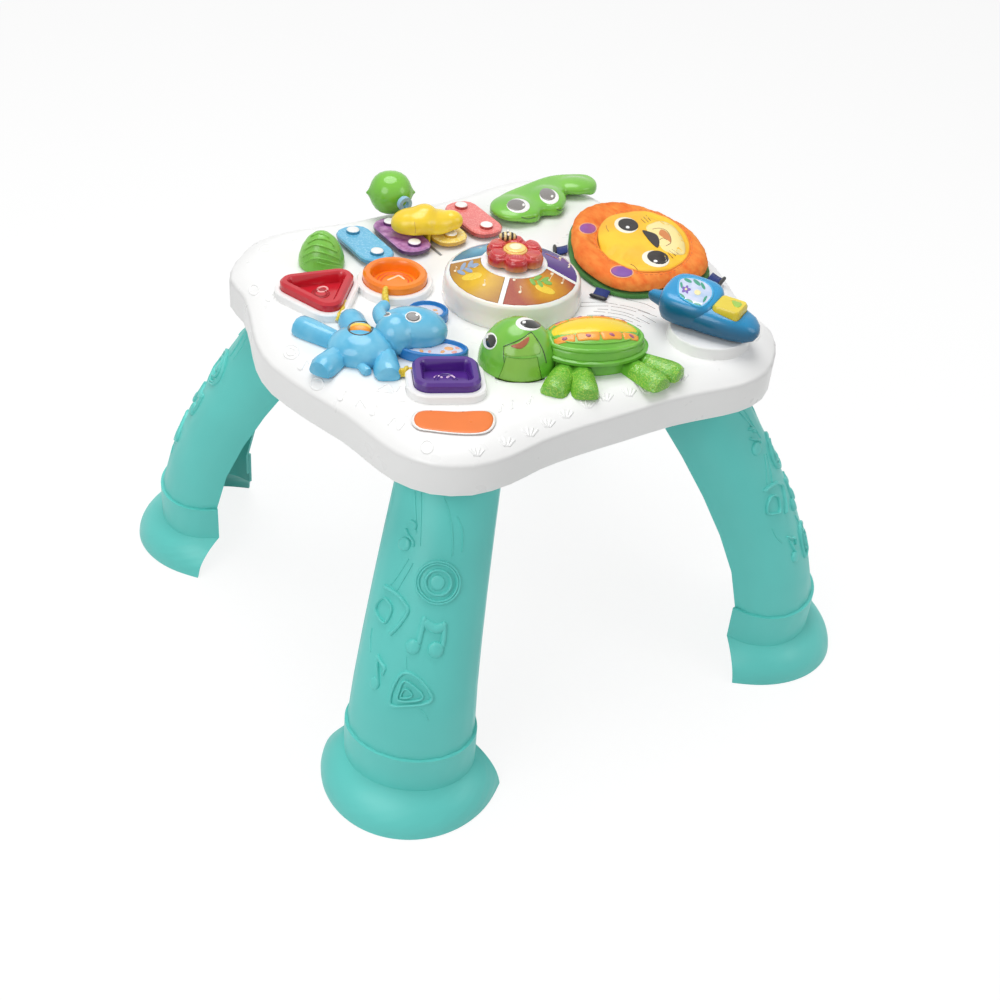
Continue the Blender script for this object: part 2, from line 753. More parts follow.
def channel_solid(stations, turn, outer_grow, inner_grow):
    """C-shaped wall through the stations, turned to its corner of the table."""
    levels = []
    for height, *sizes in stations:
        outer_arc = channel_arc(*sizes, outer_grow)
        inner_arc = channel_arc(*sizes, inner_grow)
        levels.append((place_outline(outer_arc + inner_arc[::-1], 0.0, 0.0, turn), height))
    return stack(levels)


def make_leg(name, turn, material):
    """Leg: an arched channel with a spigot that goes down into the foot's collar."""
    stations = leg_sections()
    spigot = (ANKLE_HEIGHT - LEG_SPIGOT, *stations[0][1:])
    return finish(name, channel_solid([spigot] + stations, turn, 0.0, -LEG_WALL), material)


def make_foot(name, turn, material):
    """Foot: a collar that holds the ankle and a wide bell under it, open like the leg."""
    grow = LEG_WALL + SLIDE_GAP
    ankle = (LEG_ANKLE_REACH, LEG_ANKLE_INNER, LEG_ANKLE_HALF_WIDTH, LEG_ANKLE_EDGE)
    sole = (FOOT_REACH - grow, FOOT_INNER, FOOT_HALF_WIDTH - grow, FOOT_HALF_WIDTH - grow)
    collar_bottom = ANKLE_HEIGHT - COLLAR_DROP
    stations = [(ANKLE_HEIGHT, *ankle), (collar_bottom, *ankle)]
    for height_share, open_share in FOOT_BELL_SHARES:
        sizes = [a + (b - a) * open_share for a, b in zip(ankle, sole)]
        stations.append((collar_bottom * height_share, *sizes))
    return finish(name, channel_solid(stations[::-1], turn, grow, SLIDE_GAP), material)


def make_base(material):
    """Underside plate with a plug for each leg and the battery opening."""
    outline = inset_loop(top_outline(), TOP_WALL + SLIDE_GAP)
    base = finish("table_base", prism(outline, BASE_HEIGHT, BASE_HEIGHT + BASE_THICKNESS), material)
    stations = leg_sections()
    plugs = []
    for _, turn in LEG_CORNERS:
        levels = []
        for height, *sizes in (stations[-1], stations[-2]):
            arc = channel_arc(*sizes, -LEG_WALL - SLIDE_GAP)
            levels.append((place_outline(arc, 0.0, 0.0, turn), height))
        (upper, upper_height), (lower, lower_height) = levels
        plug_end = BASE_HEIGHT - SOCKET_DEPTH
        share = (upper_height - plug_end) / (upper_height - lower_height)
        end = [a.lerp(b, share) for a, b in zip(upper, lower)]
        plugs.append(stack([(end, plug_end), (upper, upper_height), (upper, BASE_HEIGHT + FACE_GAP)]))
    combine(base, gather(plugs), "UNION")
    opening = rectangle(
        BATTERY_DOOR_LENGTH + 2 * SLIDE_GAP, BATTERY_DOOR_WIDTH + 2 * SLIDE_GAP, BATTERY_DOOR_ROUND,
        BATTERY_DOOR_X, BATTERY_DOOR_Y,
    )
    combine(base, prism(opening, BASE_HEIGHT - OVERRUN / 10, BASE_HEIGHT + OVERRUN), "DIFFERENCE")
    return base


def make_inside(dark, board, metal):
    """Battery door and box, circuit board and loudspeaker."""
    door = rectangle(
        BATTERY_DOOR_LENGTH, BATTERY_DOOR_WIDTH, BATTERY_DOOR_ROUND, BATTERY_DOOR_X, BATTERY_DOOR_Y,
    )
    finish("battery_door", prism(door, BASE_HEIGHT, BASE_HEIGHT + BASE_THICKNESS), dark)
    box_low = BASE_HEIGHT + BASE_THICKNESS + FACE_GAP
    box_high = box_low + BATTERY_BOX_HEIGHT
    outer = rectangle(
        BATTERY_DOOR_LENGTH + 2 * BATTERY_BOX_WALL, BATTERY_DOOR_WIDTH + 2 * BATTERY_BOX_WALL,
        BATTERY_DOOR_ROUND + BATTERY_BOX_WALL, BATTERY_DOOR_X, BATTERY_DOOR_Y, steps=3,
    )
    inner = rectangle(
        BATTERY_DOOR_LENGTH, BATTERY_DOOR_WIDTH, BATTERY_DOOR_ROUND, BATTERY_DOOR_X, BATTERY_DOOR_Y, steps=3,
    )
    levels = [(inner, box_high - BATTERY_BOX_WALL), (inner, box_low), (outer, box_low), (outer, box_high)]
    finish("battery_box", stack(levels), dark)
    board_low = box_high + FACE_GAP
    sheet = rectangle(BOARD_LENGTH, BOARD_WIDTH, BATTERY_DOOR_ROUND, BATTERY_DOOR_X, BATTERY_DOOR_Y, steps=3)
    finish("circuit_board", prism(sheet, board_low, board_low + BOARD_THICKNESS), board)
    seat = TOP_HEIGHT - TOP_WALL - FACE_GAP
    profile = (
        (0.0, seat), (SPEAKER_RADIUS, seat), (SPEAKER_RADIUS, seat - SPEAKER_DEPTH * SPEAKER_RIM_SHARE),
        (SPEAKER_MAGNET_RADIUS, seat - SPEAKER_DEPTH * SPEAKER_CONE_SHARE),
        (SPEAKER_MAGNET_RADIUS, seat - SPEAKER_DEPTH), (0.0, seat - SPEAKER_DEPTH),
    )
    turned("speaker", profile, 24, SPEAKER_X, SPEAKER_Y, metal)


# Light dome and flower

def dome_slope(radius):
    """Height of the dome's sloping roof at a radius."""
    share = (DOME_RIM_RADIUS - radius) / (DOME_RIM_RADIUS - DOME_CROWN_RADIUS)
    return TOP_HEIGHT + DOME_RIM_HEIGHT + (DOME_CROWN_HEIGHT - DOME_RIM_HEIGHT) * share


def sector(inner, outer, rib, thickness, middle, above=0.0):
    """Sector of the dome's roof whose straight sides run parallel to the ribs beside it."""
    sections = []
    for step in range(PANEL_STEPS + 1):
        share = -1.0 + 2.0 * step / PANEL_STEPS
        section = []
        for radius, drop in ((inner, -above), (outer, -above), (outer, thickness), (inner, thickness)):
            half = math.tau / 8 - math.asin(rib / radius)
            angle = middle + half * share
            height = dome_slope(radius) - drop
            section.append(Vector((
                DOME_X + radius * math.cos(angle), DOME_Y + radius * math.sin(angle), height,
            )))
        sections.append(section)
    return loft(sections)


def make_dome(material, panels, petal, eye, bee):
    """Round drum with four light panels that press, and the flower that spins on its crown."""
    floor = TOP_HEIGHT + FACE_GAP
    roof = TOP_HEIGHT + DOME_CROWN_HEIGHT
    bore = FLOWER_SPINDLE_RADIUS + SLIDE_GAP
    bore_floor = TOP_HEIGHT + FLOWER_BASE - FLOWER_SPINDLE_LENGTH - FACE_GAP
    ceiling = TOP_HEIGHT + DOME_RIM_HEIGHT * DOME_CEILING_SHARE
    step_out = DOME_RADIUS - DOME_RIM_RADIUS
    profile = [
        (0.0, bore_floor), (bore, bore_floor), (bore, roof), (DOME_CROWN_RADIUS, roof),
        (DOME_RIM_RADIUS, TOP_HEIGHT + DOME_RIM_HEIGHT),
    ]
    profile += [
        (DOME_RIM_RADIUS + step_out * out, TOP_HEIGHT + DOME_RIM_HEIGHT * high)
        for out, high in DOME_EDGE_SHARES
    ]
    profile += [
        (DOME_RADIUS, floor), (DOME_RADIUS - DOME_WALL, floor), (DOME_RIM_RADIUS - DOME_WALL, ceiling),
        (DOME_CROWN_RADIUS, ceiling), (0.0, ceiling),
    ]
    dome = turned("dome_base", profile, DOME_STEPS, DOME_X, DOME_Y, material)
    wells = []
    for index, (name, colour) in enumerate(panels):
        middle = math.radians(-180.0 + 90.0 * index)
        depth = PANEL_THICKNESS + PANEL_TRAVEL + SLIDE_GAP
        wells.append(sector(
            PANEL_INNER - SLIDE_GAP, PANEL_OUTER + SLIDE_GAP, PANEL_RIB - SLIDE_GAP, depth, middle, OVERRUN,
        ))
        panel = sector(PANEL_INNER, PANEL_OUTER, PANEL_RIB, PANEL_THICKNESS, middle)
        finish(name, panel, colour, (DOME_X, DOME_Y, TOP_HEIGHT))
    combine(dome, gather(wells), "DIFFERENCE")
    origin = (DOME_X, DOME_Y, TOP_HEIGHT + FLOWER_BASE)
    low = origin[2]
    levels = []
    for radius_share, rise_share in FLOWER_EDGE_SHARES:
        ring = []
        for step in range(FLOWER_PETALS * FLOWER_STEPS):
            angle = math.tau * step / (FLOWER_PETALS * FLOWER_STEPS)
            bulge = abs(math.cos(angle * FLOWER_PETALS / 2)) ** FLOWER_LOBE_POWER_SHARE
            radius = FLOWER_RADIUS * (1.0 - FLOWER_LOBE_SHARE * (1.0 - bulge)) * radius_share
            ring.append(Vector((DOME_X + radius * math.cos(angle), DOME_Y + radius * math.sin(angle))))
        levels.append((ring, low + FLOWER_HEIGHT * rise_share))
    flower = finish("flower", stack(levels), petal, origin)
    spindle = rod(
        (DOME_X, DOME_Y, low - FLOWER_SPINDLE_LENGTH), (DOME_X, DOME_Y, low + FLOWER_HEIGHT / 2),
        FLOWER_SPINDLE_RADIUS, 16,
    )
    combine(flower, spindle, "UNION")
    top = low + FLOWER_HEIGHT
    dish = rod((DOME_X, DOME_Y, top - FLOWER_EYE_DEPTH), (DOME_X, DOME_Y, top + OVERRUN),
               FLOWER_EYE_RADIUS + FACE_GAP, 24)
    combine(flower, dish, "DIFFERENCE")
    button = top - FLOWER_EYE_DEPTH + FACE_GAP
    height = FLOWER_EYE_DEPTH + FLOWER_EYE_HEIGHT
    profile = [(0.0, button + height)]
    profile += [(FLOWER_EYE_RADIUS * a, button + height * b) for a, b in FLOWER_EYE_SHARES]
    profile += [(FLOWER_EYE_RADIUS, button), (0.0, button)]
    turned("flower_centre", profile, 24, DOME_X, DOME_Y, eye)
    reach = (FLOWER_RADIUS + FLOWER_EYE_RADIUS) / 2
    bee_x = DOME_X + reach * math.cos(BEE_ANGLE)
    bee_y = DOME_Y + reach * math.sin(BEE_ANGLE)
    half = (BEE_LENGTH / 2, BEE_WIDTH / 2, BEE_WIDTH / 2)
    body = ellipsoid(bee_x, bee_y, top + BEE_WIDTH / 4, half, BEE_ANGLE - math.pi / 2, 12, 8)
    finish("bee", cut_level(body, top + FACE_GAP), bee, origin)


# Keys, slider, ball and bush

def key_x(index):
    """Middle of a key across the row."""
    return KEY_FIRST_X + KEY_PITCH * index


def slot_x():
    """Middle of the gap between the two middle keys."""
    return (key_x(1) + key_x(2)) / 2


def make_keys(keys, holes):
    """Four piano keys, each a plate on two pins that run in the top."""
    low = TOP_HEIGHT + KEY_LIFT
    high = low + KEY_THICKNESS
    for index, (name, colour) in enumerate(keys):
        x = key_x(index)
        outline = rectangle(KEY_WIDTH, KEY_LENGTH, KEY_CORNER, x, KEY_Y, 0.0, 4)
        key = finish(name, plate(outline, low, high, KEY_EDGE), colour, (x, KEY_Y, low))
        pins = []
        caps = []
        for side in (-1, 1):
            y = KEY_Y + side * KEY_PIN_SPREAD / 2
            foot = TOP_HEIGHT - KEY_PIN_REACH
            pins.append(rod((x, y, foot), (x, y, low + KEY_THICKNESS / 2), KEY_PIN_RADIUS, 8))
            cap_low = high - KEY_THICKNESS / 3
            caps.append(rod((x, y, cap_low), (x, y, high + KEY_CAP_HEIGHT), KEY_CAP_RADIUS, 12))
            holes.append(rod(
                (x, y, foot - OVERRUN), (x, y, TOP_HEIGHT + OVERRUN), KEY_PIN_RADIUS + SLIDE_GAP, 8,
            ))
        combine(key, gather(pins + caps), "UNION")


def make_slider(material, holes):
    """Knob with a flat stem through the slot, and the shoe under the stem that keeps it there."""
    x = slot_x()
    low = TOP_HEIGHT + SLIDER_LIFT
    half = (SLIDER_LENGTH / 2, SLIDER_WIDTH / 2, SLIDER_HEIGHT / 2)
    lobes = []
    for along, aside, lift, long_share, wide_share, high_share in SLIDER_LOBE_SHARES:
        sizes = (half[0] * long_share, half[1] * wide_share, half[2] * high_share)
        place = (x + SLIDER_LENGTH * along, SLIDER_Y + SLIDER_WIDTH * aside, low + half[2] * lift)
        lobes.append(cut_level(ellipsoid(*place, sizes, 0.0, 14, 8), low))
    slider = finish("slider", lobes[0], material, (x, SLIDER_Y, TOP_HEIGHT))
    for lobe in lobes[1:]:
        combine(slider, lobe, "UNION")
    shoe_top = TOP_HEIGHT - TOP_WALL - FACE_GAP
    stem = rectangle(SLIDER_STEM_WIDTH, SLIDER_STEM_LENGTH, SLIDER_STEM_WIDTH / 3, x, SLIDER_Y, 0.0, 3)
    combine(slider, prism(stem, shoe_top + FACE_GAP, low + half[2] / 2), "UNION")
    outline = rectangle(SLIDER_SHOE_WIDTH, SLIDER_STEM_LENGTH, SLIDER_STEM_WIDTH / 3, x, SLIDER_Y, 0.0, 3)
    shoe = prism(outline, shoe_top - SLIDER_SHOE_THICKNESS, shoe_top)
    finish("slider_shoe", shoe, material, (x, SLIDER_Y, TOP_HEIGHT))
    slot_length = SLIDER_STEM_LENGTH + SLIDER_TRAVEL + 2 * SLIDE_GAP
    slot = rectangle(
        SLIDER_STEM_WIDTH + 2 * SLIDE_GAP, slot_length, SLIDER_STEM_WIDTH / 3, x,
        SLIDER_Y - SLIDER_TRAVEL / 2, 0.0, 3,
    )
    holes.append(prism(slot, TOP_HEIGHT - OVERRUN, TOP_HEIGHT + OVERRUN))


def make_spinner(ball_material, post_material, holes):
    """Green ball with two pointed tips on an axle, carried by a thin post between the keys."""
    centre_z = TOP_HEIGHT + BALL_LIFT
    back = POST_DISC_FRONT + POST_THICKNESS
    disc = rod((BALL_X, POST_DISC_FRONT, centre_z), (BALL_X, back, centre_z), POST_DISC_RADIUS, 20)
    post = finish("spinner_post", disc, post_material)
    x = slot_x()
    stem = rectangle(POST_STEM_WIDTH, POST_THICKNESS - FACE_GAP, POST_THICKNESS / 5, x,
                     (POST_DISC_FRONT + back) / 2, 0.0, 3)
    combine(post, prism(stem, TOP_HEIGHT - TOP_WALL - KEY_PIN_REACH / 2, centre_z), "UNION")
    bore = rod((BALL_X, POST_DISC_FRONT - OVERRUN, centre_z), (BALL_X, back + OVERRUN, centre_z),
               BALL_AXLE_RADIUS + SLIDE_GAP, 20)
    combine(post, bore, "DIFFERENCE")
    seat = rectangle(POST_STEM_WIDTH + 2 * FACE_GAP, POST_THICKNESS + FACE_GAP, POST_THICKNESS / 5, x,
                     (POST_DISC_FRONT + back) / 2, 0.0, 3)
    holes.append(prism(seat, TOP_HEIGHT - OVERRUN, TOP_HEIGHT + OVERRUN))
    origin = (BALL_X, BALL_Y, centre_z)
    radii = (BALL_RADIUS, BALL_RADIUS, BALL_RADIUS)
    ball = finish("spinner_ball", ellipsoid(*origin, radii, 0.0, 18, 10), ball_material, origin)
    for side in (-1, 1):
        aim = Vector((math.cos(BALL_TIP_ANGLE), math.sin(BALL_TIP_ANGLE), 0.0)) * side
        root = Vector(origin) + aim * BALL_RADIUS * BALL_TIP_ROOT_SHARE
        tip = Vector(origin) + aim * (BALL_RADIUS + BALL_TIP * BALL_TIP_REACH_SHARE)
        point = limb(root, tip, BALL_TIP * BALL_TIP_BASE_SHARE, BALL_TIP * BALL_TIP_END_SHARE, 8)
        combine(ball, point, "UNION")
    axle = rod((BALL_X, POST_DISC_FRONT, centre_z), (BALL_X, BALL_Y, centre_z), BALL_AXLE_RADIUS, 20)
    combine(ball, axle, "UNION")


def make_bush(material):
    """Pointed round bush."""
    low = TOP_HEIGHT + FACE_GAP
    profile = [(0.0, low + BUSH_HEIGHT)]
    profile += [(BUSH_RADIUS * a, low + BUSH_HEIGHT * b) for a, b in BUSH_PROFILE_SHARES]
    profile += [(0.0, low)]
    turned("bush", profile, BUSH_STEPS, BUSH_X, BUSH_Y, material)


# Dishes

def ring_outline(grow):
    """Outline of the round dish, grown by a distance."""
    return circle(RING_RADIUS + grow, RING_STEPS, RING_X, RING_Y)


def triangle_outline(grow):
    """Outline of the three-sided dish, grown by a distance."""
    return triangle(TRIANGLE_INRADIUS + grow, TRIANGLE_CORNER + grow, TRIANGLE_X, TRIANGLE_Y, TRIANGLE_TURN)


def square_outline(grow):
    """Outline of the four-sided dish, grown by a distance."""
    return rectangle(
        SQUARE_LENGTH + 2 * grow, SQUARE_WIDTH + 2 * grow, SQUARE_CORNER + grow, SQUARE_X, SQUARE_Y,
        SQUARE_TURN,
    )


def boss_solid(outline, grow=0.0):
    """White boss round a dish, without its hole."""
    top = TOP_HEIGHT + BOSS_HEIGHT + grow
    return stack([
        (outline(BOSS_WIDTH + grow), TOP_HEIGHT - TOP_WALL / 2),
        (outline(BOSS_WIDTH + grow), top - BOSS_ROUND),
        (outline(BOSS_WIDTH - BOSS_ROUND + grow), top),
    ])


def make_dish(name, outline, x, y, material, bosses, holes):
    """Cup with a round-edged rim that presses down in its boss."""
    low = TOP_HEIGHT - DISH_SINK
    rim = TOP_HEIGHT + DISH_RIM
    solid = stack([
        (outline(0.0), low),
        (outline(0.0), rim - DISH_ROUND),
        (outline(-DISH_ROUND), rim),
        (outline(-DISH_WALL + DISH_ROUND), rim),
        (outline(-DISH_WALL), rim - DISH_ROUND),
        (outline(-DISH_WALL - DISH_ROUND / 2), TOP_HEIGHT + DISH_FLOOR),
    ])
    finish(name, solid, material, (x, y, TOP_HEIGHT))
    bosses.append(boss_solid(outline))
    holes.append(prism(outline(SLIDE_GAP), TOP_HEIGHT - OVERRUN, rim + OVERRUN))


# Animals

def on_axes(x, y, turn, along, aside):
    """Point given along and across a turned axis from a middle."""
    return (
        x + along * math.cos(turn) - aside * math.sin(turn),
        y + along * math.sin(turn) + aside * math.cos(turn),
    )


def animal_head(grow=0.0):
    """Head of the blue animal, with its snout, before it is cut flat."""
    half = (
        ANIMAL_HEAD_LENGTH / 2 + grow, ANIMAL_HEAD_WIDTH / 2 + grow, ANIMAL_HEAD_HEIGHT / 2 + grow,
    )
    return ellipsoid(ANIMAL_HEAD_X, ANIMAL_HEAD_Y, TOP_HEIGHT + ANIMAL_HEAD_LIFT, half, ANIMAL_TURN, 22, 14)


def animal_snout(grow=0.0):
    """Snout that bulges from the head towards the body's side."""
    x, y = on_axes(ANIMAL_HEAD_X, ANIMAL_HEAD_Y, ANIMAL_TURN, -ANIMAL_SNOUT_FORWARD, -ANIMAL_SNOUT_ASIDE)
    radius = ANIMAL_SNOUT_RADIUS + grow
    return ellipsoid(x, y, TOP_HEIGHT + ANIMAL_HEAD_LIFT, (radius, radius, radius), ANIMAL_TURN, 18, 12)


def animal_body(grow=0.0):
    """Trunk of the blue animal, before it is cut flat."""
    half = (
        ANIMAL_BODY_LENGTH / 2 + grow, ANIMAL_BODY_WIDTH / 2 + grow, ANIMAL_BODY_HEIGHT / 2 + grow,
    )
    return ellipsoid(ANIMAL_BODY_X, ANIMAL_BODY_Y, TOP_HEIGHT + ANIMAL_BODY_LIFT, half, ANIMAL_TURN, 20, 12)


def animal_limbs(grow=0.0):
    """Four limbs and the tail of the blue animal, before they are cut flat."""
    shapes = [(shares, ANIMAL_LIMB_RADIUS + grow) for shares in ANIMAL_LIMB_SHARES]
    shapes.append((ANIMAL_TAIL_SHARES, ANIMAL_TAIL_RADIUS + grow))
    limbs = []
    for shares, radius in shapes:
        root, end = (
            (*on_axes(
                ANIMAL_BODY_X, ANIMAL_BODY_Y, ANIMAL_TURN, along * ANIMAL_BODY_LENGTH,
                aside * ANIMAL_BODY_LENGTH,
            ), TOP_HEIGHT + ANIMAL_LIMB_LIFT)
            for along, aside in shares
        )
        limbs.append(limb(root, end, radius * ANIMAL_LIMB_ROOT_SHARE, radius))
    return limbs


def make_animal(blue, pad_blue, roller_colour):
    """Blue animal: trunk with limbs, head, two ears and the roller in its belly."""
    floor = TOP_HEIGHT + FACE_GAP
    body = finish("animal_body", cut_level(animal_body(), floor), blue)
    for part in animal_limbs():
        combine(body, cut_level(part, floor), "UNION")
    combine(body, animal_head(FACE_GAP), "DIFFERENCE")
    combine(body, animal_snout(FACE_GAP), "DIFFERENCE")
    axis = Vector((math.cos(ANIMAL_TURN), math.sin(ANIMAL_TURN), 0.0))
    centre = Vector((ROLLER_X, ROLLER_Y, TOP_HEIGHT + ROLLER_LIFT))
    half = axis * ROLLER_LENGTH / 2
    room = axis * (ROLLER_LENGTH / 2 + SLIDE_GAP)
    window = rod(centre - room, centre + room, ROLLER_RADIUS + SLIDE_GAP, ROLLER_STEPS)
    combine(body, window, "DIFFERENCE")
    roller = rod(centre - half, centre + half, ROLLER_RADIUS, ROLLER_STEPS)
    finish("animal_roller", roller, roller_colour, centre)
    head = finish("animal_head", cut_level(animal_head(), floor), blue)
    combine(head, cut_level(animal_snout(), floor), "UNION")
    ears = (
        ("animal_ear_far", EAR_FAR_X, EAR_FAR_Y, EAR_FAR_LENGTH, EAR_FAR_WIDTH),
        ("animal_ear_near", EAR_NEAR_X, EAR_NEAR_Y, EAR_NEAR_LENGTH, EAR_NEAR_WIDTH),
    )
    for name, x, y, length, width in ears:
        high = TOP_HEIGHT + EAR_RISE
        places = [(0.0, floor), (0.0, high - EAR_RIM * EAR_LIP_SHARE)]
        places += [(EAR_RIM * a, high - EAR_DISH * b) for a, b in EAR_HOLLOW_SHARES]
        levels = [
            (oval(length / 2 - inset, width / 2 - inset, EAR_STEPS, x, y, ANIMAL_TURN), height)
            for inset, height in places
        ]
        ear = finish(name, stack(levels), pad_blue)
        combine(ear, animal_head(FACE_GAP), "DIFFERENCE")
        combine(ear, animal_snout(FACE_GAP), "DIFFERENCE")
        for part in animal_limbs(FACE_GAP)[:-1]:
            combine(ear, part, "DIFFERENCE")
        combine(ear, boss_solid(square_outline, FACE_GAP), "DIFFERENCE")
        combine(ear, boss_solid(ring_outline, FACE_GAP), "DIFFERENCE")
        hub = circle(DOME_RADIUS + FACE_GAP, DOME_STEPS, DOME_X, DOME_Y)
        combine(ear, prism(hub, TOP_HEIGHT - OVERRUN, TOP_HEIGHT + DOME_CROWN_HEIGHT), "DIFFERENCE")


def turtle_head(grow=0.0):
    """Round head of the turtle, before it is cut flat."""
    radius = TURTLE_HEAD_RADIUS + grow
    half = (radius, radius, TURTLE_HEAD_HEIGHT + grow)
    return ellipsoid(TURTLE_HEAD_X, TURTLE_HEAD_Y, TOP_HEIGHT, half, JAW_TURN, 28, 16)


def jaw_block(grow, back, low, high):
    """Wedge that the jaw fills, narrower at the top."""
    reach = TURTLE_HEAD_RADIUS + OVERRUN
    slope = (JAW_TOP_HALF_WIDTH - JAW_BOTTOM_HALF_WIDTH) / JAW_HEIGHT
    levels = []
    for height in (low, high):
        half = JAW_BOTTOM_HALF_WIDTH + slope * max(height - TOP_HEIGHT, 0.0) + grow
        corners = [Vector((back, -half)), Vector((reach, -half)), Vector((reach, half)), Vector((back, half))]
        levels.append((place_outline(corners, TURTLE_HEAD_X, TURTLE_HEAD_Y, JAW_TURN), height))
    return stack(levels)


def make_turtle(green, light_green, shell_colour, holes):
    """Turtle: side and rim, flippers, shell, round head and the jaw that drops into the top."""
    floor = TOP_HEIGHT + FACE_GAP
    seat = TOP_HEIGHT + SHELL_SEAT
    long_half = SHELL_LENGTH / 2
    wide_half = SHELL_WIDTH / 2

    def level(grow, height):
        return (
            oval(long_half + grow, wide_half + grow, TURTLE_STEPS, TURTLE_X, TURTLE_Y, TURTLE_TURN), height,
        )

    solid = stack([
        level(TURTLE_RIM_WIDTH - TURTLE_SIDE_INSET + TURTLE_SIDE_SPREAD, floor),
        level(TURTLE_RIM_WIDTH - TURTLE_SIDE_INSET, seat - TURTLE_RIM_THICKNESS),
    ] + [
        level(TURTLE_RIM_WIDTH * out, seat - TURTLE_RIM_THICKNESS * (1.0 - high))
        for out, high in TURTLE_RIM_SHARES
    ])
    body = finish("turtle_body", solid, green)
    flipper_top = seat - TURTLE_RIM_THICKNESS * FLIPPER_TOP_SHARE
    for shares in FLIPPER_SHARES:
        root, end = (
            (*on_axes(TURTLE_X, TURTLE_Y, TURTLE_TURN, along * SHELL_LENGTH, aside * SHELL_WIDTH),
             TOP_HEIGHT + FLIPPER_LIFT)
            for along, aside in shares
        )
        flipper = cut_level(limb(root, end, FLIPPER_RADIUS * FLIPPER_ROOT_SHARE, FLIPPER_RADIUS), floor)
        combine(body, cut_level(flipper, flipper_top, False), "UNION")
    combine(body, turtle_head(FACE_GAP), "DIFFERENCE")
    dome = ellipsoid(TURTLE_X, TURTLE_Y, seat, (long_half, wide_half, SHELL_RISE), TURTLE_TURN, 28, 12)
    shell = finish("turtle_shell", cut_level(dome, seat + FACE_GAP), shell_colour, (TURTLE_X, TURTLE_Y, seat))
    combine(shell, turtle_head(FACE_GAP), "DIFFERENCE")
    head = finish("turtle_head", cut_level(turtle_head(), floor), green)
    mouth = TOP_HEIGHT + JAW_HEIGHT
    room = jaw_block(SLIDE_GAP, JAW_BACK - SLIDE_GAP, TOP_HEIGHT - OVERRUN, mouth + SLIDE_GAP)
    combine(head, room, "DIFFERENCE")
    jaw = cut_level(turtle_head(-FACE_GAP), floor)
    jaw = finish("turtle_jaw", jaw, light_green, (TURTLE_HEAD_X, TURTLE_HEAD_Y, TOP_HEIGHT))
    combine(jaw, jaw_block(0.0, JAW_BACK, TOP_HEIGHT - OVERRUN, mouth), "INTERSECT")
    near = JAW_BACK - SLIDE_GAP
    far = TURTLE_HEAD_RADIUS + SLIDE_GAP
    half = JAW_BOTTOM_HALF_WIDTH + SLIDE_GAP
    corners = [Vector((near, -half)), Vector((far, -half)), Vector((far, half)), Vector((near, half))]
    drop = place_outline(corners, TURTLE_HEAD_X, TURTLE_HEAD_Y, JAW_TURN)
    holes.append(prism(drop, TOP_HEIGHT - OVERRUN, TOP_HEIGHT + OVERRUN))


# Bean, fabric pad and viewer

def make_bean(material, holes):
    """Large press button in the shape of a bean with one curled arm."""
    points = [Vector((BEAN_X + a * BEAN_HALF_LENGTH, BEAN_Y + b * BEAN_HALF_WIDTH)) for a, b in BEAN_SHARES]
    outline = smooth_loop(points, BEAN_OUTLINE_STEPS)
    low = TOP_HEIGHT + BEAN_TRAVEL + FACE_GAP
    solid = plate(outline, low, TOP_HEIGHT + BEAN_HEIGHT, BEAN_ROUND, True, 1)
    bean = finish("bean", solid, material, (BEAN_STEM_X, BEAN_STEM_Y, TOP_HEIGHT))
    foot = TOP_HEIGHT - BEAN_STEM_REACH
    stem = rod(
        (BEAN_STEM_X, BEAN_STEM_Y, foot), (BEAN_STEM_X, BEAN_STEM_Y, low + BEAN_ROUND), BEAN_STEM_RADIUS, 16,
    )
    combine(bean, stem, "UNION")
    holes.append(rod(
        (BEAN_STEM_X, BEAN_STEM_Y, foot - OVERRUN), (BEAN_STEM_X, BEAN_STEM_Y, TOP_HEIGHT + OVERRUN),
        BEAN_STEM_RADIUS + SLIDE_GAP, 16,
    ))


